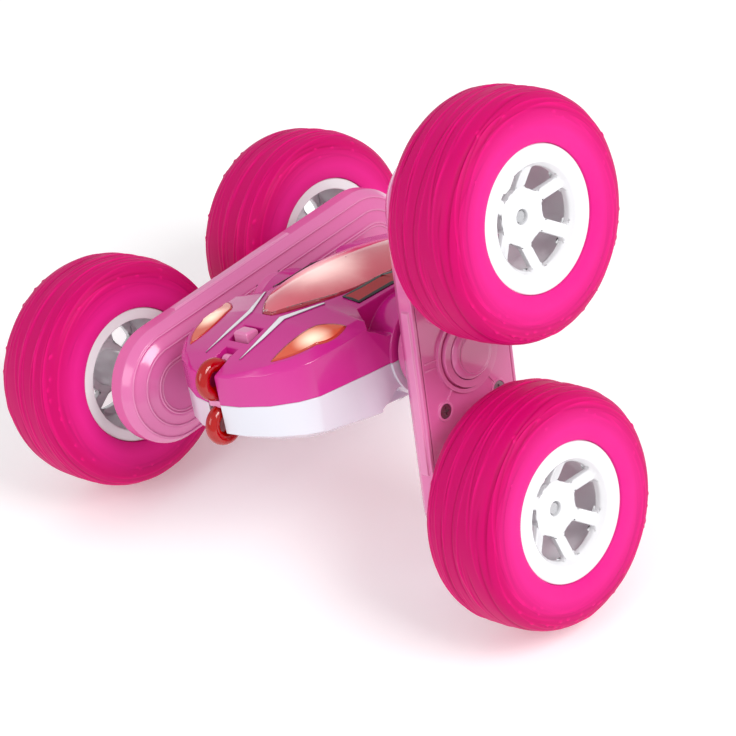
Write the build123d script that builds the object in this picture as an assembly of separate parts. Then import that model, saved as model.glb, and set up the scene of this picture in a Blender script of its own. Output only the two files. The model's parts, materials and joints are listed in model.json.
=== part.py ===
from build123d import *
import os
from math import acos, asin, atan, atan2, cos, degrees, pi, radians, sin, tan

# A double-sided stunt car for a hand-held radio.  A two-tone body hangs on a
# hollow cross pivot between two wheel arms, and each arm turns without limit
# and drives its own two balloon wheels.  Millimetres and degrees throughout.

os.makedirs("parts", exist_ok=True)

# ---- driving dimensions: wheels -------------------------------------------
TYRE_RADIUS = 33.0
TYRE_HALF_WIDTH = 12.2
TYRE_SHOULDER = 5.2          # rounding of the tread's edge
TYRE_WALL = 2.4
TYRE_FOOT = 2.0              # where the side wall starts, above the rim's lip
TYRE_NECK = 3.2              # thick rubber over the drum
RIM_RADIUS = 19.1            # lip that the tyre's bead sits behind
RIM_HALF_WIDTH = 11.1
RIM_LIP = 1.5
RIM_SEAT = 17.3              # drum that the bead stands on
RIM_WALL = 1.5
LIP_INNER = 14.4             # inner edge of the flat ring on the outside
DISH_DEPTH = 5.3             # hub face, in from the lip
DISH_SHOULDER = 1.7          # where the dish turns from steep to shallow
SPOKE_COUNT = 6
WINDOW_INNER = 7.4
WINDOW_OUTER = 13.2
WINDOW_CORNER = 0.8
SPOKE_WIDTH = 3.6
SPOKE_THICKNESS = 2.0
HUB_RADIUS = 5.2
HUB_RECESS = 2.0             # radius of the sink round the axle's end
HUB_RECESS_DEPTH = 1.6
HUB_STANDOFF = 3.0           # hub, out past the rim's inner face
BEAD_PLAY = 0.05
BEAD_TAPER = 1.2
WHEEL_OFFSET = 62.7          # middle of the car to the middle of a tyre

# ---- driving dimensions: gear train and arms ------------------------------
MODULE = 0.5
ADDENDUM = 0.8               # stub teeth, in modules
DEDENDUM = 1.1
PINION_TEETH = 12
IDLER_TEETH = 26
CARRIER_TEETH = 29
DRIVEN_TEETH = 36
PRESSURE_ANGLE = 20.0
BACKLASH = 0.12
GEAR_WIDTH = 3.2
GEAR_X = 35.7                # inner faces of the gears
AXLE_RADIUS = 1.5
AXLE_SETBACK = 0.8           # axle's end, behind the hub face
AXLE_TAIL = 1.5              # shafts and pins, into the arm's floor
PIN_RADIUS = 1.0
SHAFT_RADIUS = 0.8
RUNNING_CLEARANCE = 0.05
SIDE_PLAY = 0.35             # between a gear and what is beside it
BUSH_WALL = 1.5
ARM_END_RADIUS = 17.2
ARM_WALL = 2.2
ARM_INNER_X = 34.6           # where the arm's side wall begins
ARM_OUTER_X = 41.8           # outer face of the arm
ARM_FLOOR_X = 34.9
ARM_TERRACES = (             # each step of the inner face: X and inset, from and to
    (0.0, 1.6, 2.6, 0.0),
    (-1.6, 5.2, 0.0, 2.6),
    (-2.7, 8.6, -1.6, 6.2),
)
PIN_BOSS_WALL = 0.9
PIN_SET = 1.6                # blind holes for pins, into the arm's floor
PIN_SOCKET = 0.7             # and into the cover
BUSH_SET = 1.9
BUSH_COLLAR = 1.6
COLLAR_HEIGHT = 0.8          # round each bush, on the cover
BUSH_PROUD = 1.2             # bush's end, out past the cover's face
COVER_THICKNESS = 1.5
COVER_GAP = 0.2
SCREW_HEAD_RADIUS = 1.9
SCREW_HEAD_HEIGHT = 0.9
SCREW_RADIUS = 1.0
SCREW_BOSS_WALL = 1.1
SCREW_PLAY = 0.15
SCREW_SINK = 0.6             # seat of an arm screw's head, below the cover's face
SCREW_HOLE_FLOOR = 0.4
SCREW_TIP_GAP = 0.6
WELL_RIM_WIDTH = 0.8         # raised rim round each head
WELL_RIM_HEIGHT = 0.5
ARM_SCREW_PAST_IDLER = 4.0
ARM_SCREW_GAP = 1.0          # between a screw boss and the idler gear
HUB_RING_RADIUS = 11.0
HUB_RING_HEIGHT = 0.9
HUB_RING_WALL = 1.1
HUB_CUP_RADIUS = 9.4
HUB_CUP_HEIGHT = 1.9
HUB_CUP_PLAY = 0.2
HUB_CAP_RADIUS = 7.2
HUB_CAP_HEIGHT = 3.6
RIB_HEIGHT = 0.35
RIB_WIDTH = 0.5
RIB_HALF_SPREAD = 1.0        # of the pairs of ribs beside the hub
RIB_ANGLES = (38, 142, 218, 322)
PANEL_RISE = 0.6             # raised panels on the arm's long edges
PANEL_SETBACK = 3.4          # from the inner edge of the arm's side wall
PANEL_WIDTH = 2.6
PANEL_FROM = -30.0
PANEL_TO = 16.0

# ---- driving dimensions: cross pivot ---------------------------------------
JOURNAL_RADIUS = 10.0
JOURNAL_WALL = 1.6
JOURNAL_COLLAR = 2.4         # the shoulder that the journal stands on
BOSS_WALL = 4.0              # body boss, outside the journal
BOSS_OUTER_X = 28.0
CLIP_RISE = 2.0              # clip, above the journal
CLIP_SIDE_PLAY = 0.4
CLIP_SPLIT = 2.4
CLIP_WIDTH = 2.4
JOURNAL_TIP = 0.6            # journal's end, past the clip
ARM_TO_BOSS_GAP = 0.8
MOTOR_LENGTH = 18.0
MOTOR_PLAY = 0.1
MOTOR_FLAT = 6.4             # half the height over the can's flats
MOTOR_NOSE_RADIUS = 2.5
MOTOR_SEAT = 1.2             # floor of the arm, in front of the motor

# ---- driving dimensions: body ----------------------------------------------
BODY_HALF_LENGTH = 53.6
BODY_HALF_WIDTH = 27.5
SHELL_WALL = 1.6
FENDER_X = 18.8              # inner wall of the hollow above the pivot boss
CREASE_NOSE = 8.0            # height of the wall's top edge at the nose
CREASE_SLOPE = 0.115         # how fast that edge climbs towards the middle
BEVEL_ANGLE = 42.0           # slope between the wall and the hood, above
BELLY_BEVEL_ANGLE = 66.0     # and below, where the wall ends in a sharper edge
SLOT_HALF_WIDTH = 2.5
SLOT_DEPTH = 10.2
SLOT_WALL = 1.2
BAR_HEIGHT = 2.0
RING_RADIUS = 3.9
RING_TUBE = 1.9
RING_HEIGHT = 6.4            # ring's centre above and below the parting plane
RING_SETBACK = 2.3           # ring's centre, behind the nose
BAR_SETBACK = 0.8            # bridge, behind the nose
BAR_LENGTH = 8.2
WEB_THICKNESS = 1.9
WEB_PAST_RING = 2.8
TAB_RADIUS = 1.8
SWITCH_FROM_NOSE = 15.7
SWITCH_TRAVEL = 1.0
SWITCH_PLAY = 0.35
KNOB_HALF_WIDTH = 2.7
KNOB_HALF_LENGTH = 2.1
KNOB_PROUD = 1.3
KNOB_SIDE_PLAY = 0.3
KNOB_END_PLAY = 1.0
KNOB_EDGE = 0.5
RECESS_DEPTH = 3.0
RECESS_WALL = 1.2
RECESS_FLOOR = 1.4
HOUSING_HALF_WIDTH = 5.0
HOUSING_HALF_LENGTH = 2.6
HOUSING_HEIGHT = 5.1
HOUSING_GAP = 0.1            # under the recess's floor
STEM_HALF_WIDTH = 1.2
STEM_HALF_LENGTH = 0.8
HOOD_FRONT_Z = 11.2          # hood's ridge behind the nose
HOOD_KINK_Z = 16.3           # and at the fold before the canopy
HOOD_FRONT_SETBACK = 6.8
HOOD_KINK_SETBACK = 23.4
CANOPY_HALF_LENGTH = 29.8
CANOPY_HALF_WIDTH = 13.7
CANOPY_TOP = 21.4
LENS_WALL = 1.5
LENS_PLAY = 0.12
DOME_FOOT = 9.0              # middle of the lens's ball
DOME_HALF_WIDTH = 18.6
DOME_HALF_LENGTH = 38.0
LENS_FOOT = 13.5             # lower edge of the lens's rim
BELLY_FLAT = 19.0            # flat face of the belly cover, from the parting plane
BODY_SCREW_AT = (19.6, 31.45)
BODY_SCREW_SEAT = 5.0        # underside of the ledge that each head pulls on
BODY_SCREW_REACH = 6.5       # above the parting plane
BODY_SCREW_BOSS_WALL = 0.7
BODY_SCREW_WELL_PLAY = 0.3
BOARD_TOP = 2.6              # circuit board's upper face
BOARD_THICKNESS = 1.4
BATTERY_HALF_HEIGHT = 6.5
BATTERY_CORNER = 3.0
LED_RADIUS = 1.5
LED_HEIGHT = 3.0
JACK_X = 12.9                # charging jack in the tail
JACK_Z = -4.4
JACK_RADIUS = 1.75
JACK_BODY_RADIUS = 3.0
JACK_SETBACK = 5.0           # jack's mouth, in from the tail
JACK_LENGTH = 10.0
JACK_FLOOR = 1.5

# ---- driving dimensions: the pose it is shown in ---------------------------
ARM_TWIST = 77.5             # near arm, turned from the far arm
BODY_PITCH = -8.0            # body, turned from the far arm

# ---- worked out from the above ---------------------------------------------
PINION_PITCH = MODULE * PINION_TEETH / 2
IDLER_PITCH = MODULE * IDLER_TEETH / 2
CARRIER_PITCH = MODULE * CARRIER_TEETH / 2
DRIVEN_PITCH = MODULE * DRIVEN_TEETH / 2
NOSE = -BODY_HALF_LENGTH
HOOD_FRONT = NOSE + HOOD_FRONT_SETBACK
HOOD_KINK = NOSE + HOOD_KINK_SETBACK
SWITCH_AT = NOSE + SWITCH_FROM_NOSE
BOSS_RADIUS = JOURNAL_RADIUS + BOSS_WALL
SCREW_BOSS_RADIUS = SCREW_RADIUS + SCREW_BOSS_WALL
IDLER_AT = PINION_PITCH + IDLER_PITCH
CARRIER_AT = IDLER_AT + IDLER_PITCH + CARRIER_PITCH
AXLE_AT = CARRIER_AT + CARRIER_PITCH + DRIVEN_PITCH
IDLER_TIP = IDLER_PITCH + ADDENDUM * MODULE
ARM_SCREW_AT = (IDLER_AT + ARM_SCREW_PAST_IDLER, IDLER_TIP + SCREW_BOSS_RADIUS + ARM_SCREW_GAP)
BOSS_INNER_X = FENDER_X - SHELL_WALL
CLIP_OUTER_X = BOSS_INNER_X - CLIP_SIDE_PLAY
JOURNAL_END_X = CLIP_OUTER_X - CLIP_WIDTH - JOURNAL_TIP
MOTOR_FRONT_X = ARM_FLOOR_X - MOTOR_SEAT
ARM_PLATEAU_X = BOSS_OUTER_X + ARM_TO_BOSS_GAP
LEDGE_X = ARM_OUTER_X - COVER_THICKNESS
RIM_OUTER_X = WHEEL_OFFSET + RIM_HALF_WIDTH
RIM_INNER_X = WHEEL_OFFSET - RIM_HALF_WIDTH
DISH_X = RIM_OUTER_X - DISH_DEPTH

# Three tyres touch the ground: both on the far arm, and the lower near one.
TWIST = radians(ARM_TWIST)
LEAN = atan2(AXLE_AT * sin(TWIST), 2 * WHEEL_OFFSET)
SHOULDER_AT = (TYRE_HALF_WIDTH - TYRE_SHOULDER, TYRE_RADIUS - TYRE_SHOULDER)
TYRE_REACH_DOWN = SHOULDER_AT[0] * sin(LEAN) + SHOULDER_AT[1] * cos(LEAN) + TYRE_SHOULDER
PIVOT_HEIGHT = WHEEL_OFFSET * sin(LEAN) + TYRE_REACH_DOWN
PIVOT_X = -AXLE_AT * sin(TWIST) * sin(LEAN) / 2

CAR = Pos(PIVOT_X, 0, PIVOT_HEIGHT) * Rot(0, -degrees(LEAN), 0)
FAR_ARM = CAR
NEAR_ARM = CAR * Rot(ARM_TWIST, 0, 0)
BODY = CAR * Rot(BODY_PITCH, 0, 0)
LOW = (Align.CENTER, Align.CENTER, Align.MIN)


# ---- small shapes -----------------------------------------------------------
def rod(x0, x1, radius, y=0.0, z=0.0):
    """A round bar along X."""
    return Pos(x0, y, z) * Rot(0, 90, 0) * Cylinder(radius, x1 - x0, align=LOW)


def tube(x0, x1, outer, inner, y=0.0, z=0.0):
    """A ring along X."""
    return rod(x0, x1, outer, y, z) - rod(x0 - 1, x1 + 1, inner, y, z)


def block(x0, x1, y0, y1, z0, z1):
    """A box between two corners."""
    return Pos((x0 + x1) / 2, (y0 + y1) / 2, (z0 + z1) / 2) * Box(x1 - x0, y1 - y0, z1 - z0)


def stadium(x, radius):
    """The arm's outline, a slot shape round both axles, at one X."""
    return Plane.YZ.offset(x) * SlotCenterToCenter(2 * AXLE_AT, 2 * radius)


def slab(x0, x1, radius):
    return extrude(stadium(x0, radius), x1 - x0)


def terrace(x0, r0, x1, r1):
    """A sloping step between two arm outlines."""
    return loft([stadium(x0, r0), stadium(x1, r1)], ruled=True)


def spun(points):
    """A solid of revolution about X from (x, radius) points."""
    return revolve(make_face(Polyline(*points, close=True)), Axis.X)


def mirrored_x(shape):
    return mirror(shape, about=Plane.YZ)


def mirrored_y(shape):
    return mirror(shape, about=Plane.XZ)


def mirrored_z(shape):
    return mirror(shape, about=Plane.XY)


def plan_prism(points, z0, z1):
    """A straight prism standing on a plan outline."""
    return extrude(Pos(0, 0, z0) * make_face(Polyline(*points, close=True)), z1 - z0)


def joined(shapes):
    """Separate solids in one node."""
    solids = []
    for shape in shapes:
        solids.extend(shape.solids())
    return Compound(children=solids)


# ---- gears ------------------------------------------------------------------
def involute(angle):
    return tan(angle) - angle


def gear(teeth, x0, width, bore, at, tooth_faces_pivot, pivot_side):
    """A spur gear on the arm's centre line, with stub involute teeth."""
    pitch = MODULE * teeth / 2
    base = pitch * cos(radians(PRESSURE_ANGLE))
    tip = pitch + ADDENDUM * MODULE
    root = pitch - DEDENDUM * MODULE
    half_tooth = pi / (2 * teeth) - BACKLASH / (4 * pitch)

    def half_angle(radius):
        pressure = acos(min(1.0, base / radius))
        return half_tooth + involute(radians(PRESSURE_ANGLE)) - involute(pressure)

    def spot(radius, angle):
        return (radius * cos(angle), radius * sin(angle))

    start = max(root, base * 1.0005)
    middle = (start + tip) / 2
    first = 0.0 if tooth_faces_pivot else pi / teeth
    first += 0.0 if pivot_side > 0 else pi
    edges = []
    for number in range(teeth):
        centre = first + 2 * pi * number / teeth
        last = centre + 2 * pi / teeth
        rise = [spot(radius, centre - half_angle(radius)) for radius in (start, middle, tip)]
        fall = [spot(radius, centre + half_angle(radius)) for radius in (tip, middle, start)]
        foot = spot(root, centre + half_angle(start))
        next_foot = spot(root, last - half_angle(start))
        next_start = spot(start, last - half_angle(start))
        edges += [ThreePointArc(*rise), Line(rise[2], fall[0]), ThreePointArc(*fall)]
        if start > root + 0.001:
            edges += [Line(fall[2], foot), Line(foot, next_foot), Line(next_foot, next_start)]
        else:
            edges.append(Line(fall[2], next_start))
    blank = extrude(make_face(Wire(edges)), width)
    blank = Pos(x0, at, 0) * Plane.YZ.location * blank
    return blank - rod(x0 - 1, x0 + width + 1, bore, at)


# ---- wheels -----------------------------------------------------------------
def tyre():
    """A blown balloon tyre, open towards the rim, with a bead on each side."""
    bead = RIM_HALF_WIDTH - RIM_LIP
    foot = RIM_RADIUS + BEAD_PLAY
    half = TYRE_HALF_WIDTH
    wall_foot = RIM_RADIUS + TYRE_FOOT
    outer = [(-half, wall_foot), (-half, TYRE_RADIUS), (half, TYRE_RADIUS), (half, wall_foot),
             (bead + BEAD_TAPER, foot), (bead, foot), (bead, RIM_SEAT),
             (-bead, RIM_SEAT), (-bead, foot), (-bead - BEAD_TAPER, foot)]
    profile = make_face(Polyline(*outer, close=True))
    tread = [v for v in profile.vertices() if v.Y > TYRE_RADIUS - 0.1]
    profile = fillet(tread, TYRE_SHOULDER)
    inside = half - TYRE_WALL
    neck = RIM_SEAT + TYRE_NECK
    mouth = inside - TYRE_WALL
    hollow = make_face(Polyline((-inside, neck), (-inside, TYRE_RADIUS - TYRE_WALL),
                                (inside, TYRE_RADIUS - TYRE_WALL), (inside, neck),
                                (mouth, RIM_SEAT - 1), (-mouth, RIM_SEAT - 1), close=True))
    crown = [v for v in hollow.vertices() if v.Y > TYRE_RADIUS - TYRE_WALL - 0.1]
    hollow = fillet(crown, TYRE_SHOULDER - TYRE_WALL)
    return Pos(WHEEL_OFFSET, 0, 0) * revolve(profile - hollow, Axis.X)


def rim_window():
    """A fan-shaped opening between two spokes, seen along the axle."""
    def corner(radius, side):
        angle = pi / SPOKE_COUNT - asin(SPOKE_WIDTH / 2 / radius)
        return (radius * sin(side * angle), radius * cos(angle))

    edges = [ThreePointArc(corner(WINDOW_OUTER, -1), (0, WINDOW_OUTER), corner(WINDOW_OUTER, 1)),
             Line(corner(WINDOW_OUTER, 1), corner(WINDOW_INNER, 1)),
             ThreePointArc(corner(WINDOW_INNER, 1), (0, WINDOW_INNER), corner(WINDOW_INNER, -1)),
             Line(corner(WINDOW_INNER, -1), corner(WINDOW_OUTER, -1))]
    outline = make_face(Wire(edges))
    outline = fillet(outline.vertices(), WINDOW_CORNER)
    depth = DISH_DEPTH + SPOKE_THICKNESS + 2
    return extrude(Plane.YZ.offset(RIM_OUTER_X + 1 - depth) * outline, depth)


def rim():
    """A moulded drum with two lips, a dished six-spoke face and a long hub."""
    bore = RIM_SEAT - RIM_WALL
    x_in, x_out = RIM_INNER_X, RIM_OUTER_X
    back = DISH_X - SPOKE_THICKNESS
    shoulder = x_out - DISH_SHOULDER
    body = spun([(x_in, bore), (x_in, RIM_RADIUS), (x_in + RIM_LIP, RIM_RADIUS), (x_in + RIM_LIP, RIM_SEAT),
                 (x_out - RIM_LIP, RIM_SEAT), (x_out - RIM_LIP, RIM_RADIUS), (x_out, RIM_RADIUS),
                 (x_out, LIP_INNER), (shoulder, WINDOW_OUTER), (DISH_X, WINDOW_INNER),
                 (DISH_X, AXLE_RADIUS), (back, AXLE_RADIUS), (back, WINDOW_INNER),
                 (shoulder - SPOKE_THICKNESS, WINDOW_OUTER),
                 (shoulder - SPOKE_THICKNESS, bore)])
    window = rim_window()
    for number in range(SPOKE_COUNT):
        body -= Rot(360 * number / SPOKE_COUNT, 0, 0) * window
    hub = tube(x_in - HUB_STANDOFF, DISH_X, HUB_RADIUS, AXLE_RADIUS)
    return body + hub - rod(DISH_X - HUB_RECESS_DEPTH, DISH_X + 1, HUB_RECESS)


def axle():
    """A steel pin: it runs in two bushes and carries the rim and the driven gear."""
    return rod(ARM_FLOOR_X - AXLE_TAIL, DISH_X - AXLE_SETBACK, AXLE_RADIUS)


# ---- arms -------------------------------------------------------------------
def arm_screw_places():
    y, z = ARM_SCREW_AT
    return [(-y, z), (y, z), (-y, -z), (y, -z)]


def edge_panels():
    """Raised panels with slanted ends on the arm's two long edges."""
    r = ARM_END_RADIUS
    outline = [(PANEL_FROM, r - 1), (PANEL_FROM + PANEL_RISE, r + PANEL_RISE),
               (PANEL_TO - PANEL_RISE, r + PANEL_RISE), (PANEL_TO, r - 1)]
    face = Plane.YZ.offset(ARM_INNER_X + PANEL_SETBACK) * make_face(Polyline(*outline, close=True))
    panel = extrude(face, PANEL_WIDTH)
    return panel + mirrored_z(panel)


def arm_shell():
    """The inner half of the arm: a terraced tray with a hollow pivot journal."""
    r = ARM_END_RADIUS
    x = ARM_INNER_X
    outside = slab(x + ARM_TERRACES[0][2], ARM_OUTER_X, r) + edge_panels()
    for from_x, from_inset, to_x, to_inset in ARM_TERRACES:
        outside += terrace(x + from_x, r - from_inset, x + to_x, r - to_inset)
    outside += rod(ARM_PLATEAU_X, x, JOURNAL_RADIUS + JOURNAL_COLLAR)
    outside += rod(JOURNAL_END_X, x, JOURNAL_RADIUS)
    shell = outside - slab(ARM_FLOOR_X, ARM_OUTER_X + 1, r - ARM_WALL)
    shell -= slab(LEDGE_X, ARM_OUTER_X + 1, r - ARM_WALL / 2)
    shell -= rod(JOURNAL_END_X - 1, MOTOR_FRONT_X, JOURNAL_RADIUS - JOURNAL_WALL)
    shell -= rod(JOURNAL_END_X, ARM_FLOOR_X + 1, MOTOR_NOSE_RADIUS + MOTOR_PLAY)
    pin_end = ARM_FLOOR_X - PIN_SET
    bush = AXLE_RADIUS + BUSH_WALL
    for side in (-1, 1):
        for at in (IDLER_AT, CARRIER_AT):
            shell += rod(ARM_FLOOR_X - 0.5, GEAR_X - SIDE_PLAY, PIN_RADIUS + PIN_BOSS_WALL, side * at)
            shell -= rod(pin_end, GEAR_X, PIN_RADIUS, side * at)
        shell -= rod(ARM_FLOOR_X - BUSH_SET, ARM_FLOOR_X + 1, bush, side * AXLE_AT)
    for y, z in arm_screw_places():
        shell += rod(ARM_FLOOR_X - 0.5, LEDGE_X, SCREW_BOSS_RADIUS, y, z)
        shell -= rod(ARM_FLOOR_X + SCREW_HOLE_FLOOR, LEDGE_X + 1, SCREW_RADIUS, y, z)
    return shell


def arm_cover():
    """The outer plate, with a stepped hub ring, ribs and screw wells."""
    x = ARM_OUTER_X
    root = x - 0.2
    r = ARM_END_RADIUS - ARM_WALL / 2 - COVER_GAP
    cover = slab(LEDGE_X, x, r)
    cover += tube(root, x + HUB_RING_HEIGHT, HUB_RING_RADIUS, HUB_RING_RADIUS - HUB_RING_WALL)
    cover += tube(root, x + HUB_CUP_HEIGHT, HUB_CUP_RADIUS, HUB_CAP_RADIUS + HUB_CUP_PLAY)
    half_rib = RIB_WIDTH / 2
    across = block(root, x + RIB_HEIGHT, HUB_RING_RADIUS - 0.2, r - 0.6, -half_rib, half_rib)
    spoke = block(root, x + RIB_HEIGHT, HUB_RING_RADIUS - 0.4, r - 0.5, -half_rib, half_rib)
    for turn in (90, 270):
        for z in (-RIB_HALF_SPREAD, RIB_HALF_SPREAD):
            cover += Rot(turn, 0, 0) * Pos(0, 0, z) * across
    for turn in RIB_ANGLES:
        cover += Rot(turn, 0, 0) * spoke
    for y, z in arm_screw_places():
        cover += rod(root, x + WELL_RIM_HEIGHT, SCREW_HEAD_RADIUS + WELL_RIM_WIDTH, y, z)
        cover -= rod(x - SCREW_SINK, x + 2, SCREW_HEAD_RADIUS + SCREW_PLAY, y, z)
        cover -= rod(LEDGE_X - 1, x, SCREW_RADIUS + SCREW_PLAY, y, z)
    bush = AXLE_RADIUS + BUSH_WALL
    beside_gear = GEAR_X + GEAR_WIDTH + SIDE_PLAY
    for side in (-1, 1):
        cover += rod(root, x + COLLAR_HEIGHT, bush + BUSH_COLLAR, side * AXLE_AT)
        cover -= rod(LEDGE_X - 1, x + 2, bush, side * AXLE_AT)
        for at in (IDLER_AT, CARRIER_AT):
            cover += rod(beside_gear, LEDGE_X + 0.3, PIN_RADIUS + PIN_BOSS_WALL, side * at)
            cover -= rod(GEAR_X, LEDGE_X + PIN_SOCKET, PIN_RADIUS, side * at)
    return cover


def hub_cap():
    """The domed disc in the middle of the cover."""
    x = ARM_OUTER_X
    top = x + HUB_CAP_HEIGHT
    r = HUB_CAP_RADIUS
    return spun([(x, 0), (x, r), (top - 1.4, r), (top - 0.5, r - 0.9), (top - 0.5, r - 1.6),
                 (top, r - 1.9), (top, 0)])


def arm_screws():
    """Self-tapping screws with a cross recess, all alike."""
    head = ARM_OUTER_X - SCREW_SINK
    screws = []
    for y, z in arm_screw_places():
        screw = rod(ARM_FLOOR_X + SCREW_HOLE_FLOOR + SCREW_TIP_GAP, head + 0.3, SCREW_RADIUS, y, z)
        screw += rod(head, head + SCREW_HEAD_HEIGHT, SCREW_HEAD_RADIUS, y, z)
        for turn in (0, 90):
            cross = Rot(turn, 0, 0) * block(0, 1, -1.1, 1.1, -0.25, 0.25)
            screw -= Pos(head + 0.4, y, z) * cross
        screws.append(screw)
    return joined(screws)


def motor():
    """A small round-can motor with two flats, seated inside the journal."""
    back = MOTOR_FRONT_X - MOTOR_LENGTH
    can = rod(back, MOTOR_FRONT_X, JOURNAL_RADIUS - JOURNAL_WALL - MOTOR_PLAY)
    flat = block(back + 2.5, MOTOR_FRONT_X - 1, -9, 9, MOTOR_FLAT, MOTOR_FLAT + 6)
    can -= flat + mirrored_z(flat)
    can += rod(MOTOR_FRONT_X - 0.1, ARM_FLOOR_X, MOTOR_NOSE_RADIUS)
    return can - rod(back - 1, ARM_FLOOR_X + 1, SHAFT_RADIUS + RUNNING_CLEARANCE)


def motor_pinion():
    """The motor's shaft with its brass pinion."""
    shaft = rod(MOTOR_FRONT_X - MOTOR_LENGTH - 1.0, GEAR_X + GEAR_WIDTH + 0.4, SHAFT_RADIUS)
    pinion = gear(PINION_TEETH, GEAR_X - 0.2, GEAR_WIDTH + 0.4, SHAFT_RADIUS, 0.0, True, 1)
    return joined([shaft, pinion])


def idler_pins():
    return joined([rod(ARM_FLOOR_X - AXLE_TAIL, LEDGE_X + PIN_SOCKET - 0.1, PIN_RADIUS, side * at)
                   for side in (-1, 1) for at in (IDLER_AT, CARRIER_AT)])


def axle_bushes():
    """Plain bushes, one in the tray and one in the cover for each axle."""
    bore = AXLE_RADIUS + RUNNING_CLEARANCE
    outer = AXLE_RADIUS + BUSH_WALL
    bushes = []
    for side in (-1, 1):
        y = side * AXLE_AT
        bushes.append(tube(ARM_FLOOR_X - BUSH_SET, GEAR_X - SIDE_PLAY, outer, bore, y))
        bushes.append(tube(GEAR_X + GEAR_WIDTH + SIDE_PLAY, ARM_OUTER_X + BUSH_PROUD, outer, bore, y))
    return joined(bushes)


def pivot_clip():
    """A split ring on the journal's end that keeps the arm on the body."""
    ring = tube(CLIP_OUTER_X - CLIP_WIDTH, CLIP_OUTER_X, JOURNAL_RADIUS + CLIP_RISE, JOURNAL_RADIUS)
    half = CLIP_SPLIT / 2
    return ring - block(JOURNAL_END_X, BOSS_INNER_X, -half, half, JOURNAL_RADIUS / 2, JOURNAL_RADIUS * 2)


# ---- body: the half form that both shells share -----------------------------
def side_outline():
    """Right-hand plan outline from the nose back to past the middle."""
    width = BODY_HALF_WIDTH
    return [(0, NOSE), (9.0, NOSE + 1.8), (17.0, NOSE + 5.6), (width - 4.8, NOSE + 11.0),
            (width - 2.1, NOSE + 15.9), (width - 0.4, -20.0), (width, -11.7), (width, 20.0)]


def front_outline(stretch=1.0):
    right = side_outline()
    left = [(-x, y) for x, y in reversed(right) if x > 0]
    return [(x, y * stretch) for x, y in right + left]


def hood_section(y, ridge_x, ridge_z, edge_z, drop):
    """One cross-section under the hood: a flat ridge and two falling sides."""
    reach = BODY_HALF_WIDTH + 4
    points = [(-reach, -2), (-reach, edge_z - drop), (-ridge_x, ridge_z - drop),
              (ridge_x, ridge_z - drop), (reach, edge_z - drop), (reach, -2)]
    return Plane.XZ.offset(-y) * make_face(Polyline(*points, close=True))


def half_form(inset, drop, bevel_angle=BEVEL_ANGLE):
    """The solid above the parting plane: a plan prism, a bevel and the hood."""
    tilt = atan(CREASE_SLOPE)
    crease_middle = CREASE_NOSE + CREASE_SLOPE * BODY_HALF_LENGTH - drop * 0.6
    crease = Plane(origin=(0, 0, crease_middle), x_dir=(1, 0, 0), z_dir=(0, -sin(tilt), cos(tilt)))
    plan = make_face(Polyline(*front_outline(), close=True))
    sloped = make_face(Polyline(*front_outline(1 / cos(tilt)), close=True))
    if inset:
        plan = offset(plan, -inset, kind=Kind.INTERSECTION)
        sloped = offset(sloped, -inset, kind=Kind.INTERSECTION)
    wall = split(extrude(plan, 30), crease, keep=Keep.BOTTOM)
    bevel = extrude(crease * sloped, 9, taper=bevel_angle)
    stations = [(NOSE - 2, 6.7, 7.2, 6.2), (HOOD_FRONT, 6.7, HOOD_FRONT_Z, 9.6),
                (HOOD_KINK, 5.9, HOOD_KINK_Z, 12.4), (-20.0, 11.6, 17.1, 13.2),
                (-14.0, 12.4, 17.2, 9.0), (0.5, 13.9, 17.8, 9.4)]
    sections = [hood_section(y, x, z, edge, drop) for y, x, z, edge in stations]
    hood = None
    for first, second in zip(sections[:-1], sections[1:]):
        piece = loft([first, second], ruled=True)
        hood = piece if hood is None else hood + piece
    front = (wall + bevel) & hood
    front &= block(-50, 50, -80, 0, -1, 40)
    return front + mirrored_y(front)


def fender(grow):
    """The hollow above the pivot boss on both sides, seen in plan and side view."""
    x = FENDER_X - grow
    front = BOSS_RADIUS + 0.5 + grow
    foot = BOSS_RADIUS - 0.4
    plan = plan_prism([(x, -front), (40, -front - 12.5), (40, front + 12.5), (x, front)], 0, 30)
    rise = [(foot, 7.6 - grow), (foot + 3.2, 10.0 - grow), (foot + 6.7, 11.6 - grow), (40, 20), (40, 40)]
    side = [(-y, z) for y, z in reversed(rise)] + rise
    profile = extrude(Plane.YZ * make_face(Polyline(*side, close=True)), 60)
    one = plan & profile
    return one + mirrored_x(one)


def canopy_outline(grow):
    """A long leaf with blunt tips."""
    length, width = CANOPY_HALF_LENGTH + grow, CANOPY_HALF_WIDTH + grow
    tip = 1.8 + grow / 2
    bulge = (width * 0.69, length * 0.66)
    edges = [Line((-tip, -length), (tip, -length)), Line((-tip, length), (tip, length))]
    for side in (-1, 1):
        for end in (-1, 1):
            edges.append(ThreePointArc((side * tip, end * length), (side * bulge[0], end * bulge[1]),
                                       (side * width, end * 2.0)))
        edges.append(Line((side * width, -2.0), (side * width, 2.0)))
    return make_face(Wire(edges))


def canopy_prism(grow):
    return extrude(canopy_outline(grow), 40)


def lamp_prism():
    """A leaf across the hood's shoulder, for one side lamp."""
    front, low, rear, high = (16.6, 9.2), (22.9, 18.4), (24.4, 29.6), (17.4, 25.6)
    edges = [ThreePointArc(front, (20.4, 13.2), low), ThreePointArc(low, (24.5, 23.6), rear),
             ThreePointArc(rear, (20.6, 28.3), high), ThreePointArc(high, (15.9, 18.1), front)]
    return extrude(Pos(0, NOSE, 0) * make_face(Wire(edges)), 30)


def both_sides(shape):
    return shape + mirrored_x(shape)


def slot_cut():
    return block(-SLOT_HALF_WIDTH, SLOT_HALF_WIDTH, NOSE - 6, NOSE + SLOT_DEPTH, -40, 40)


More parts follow.
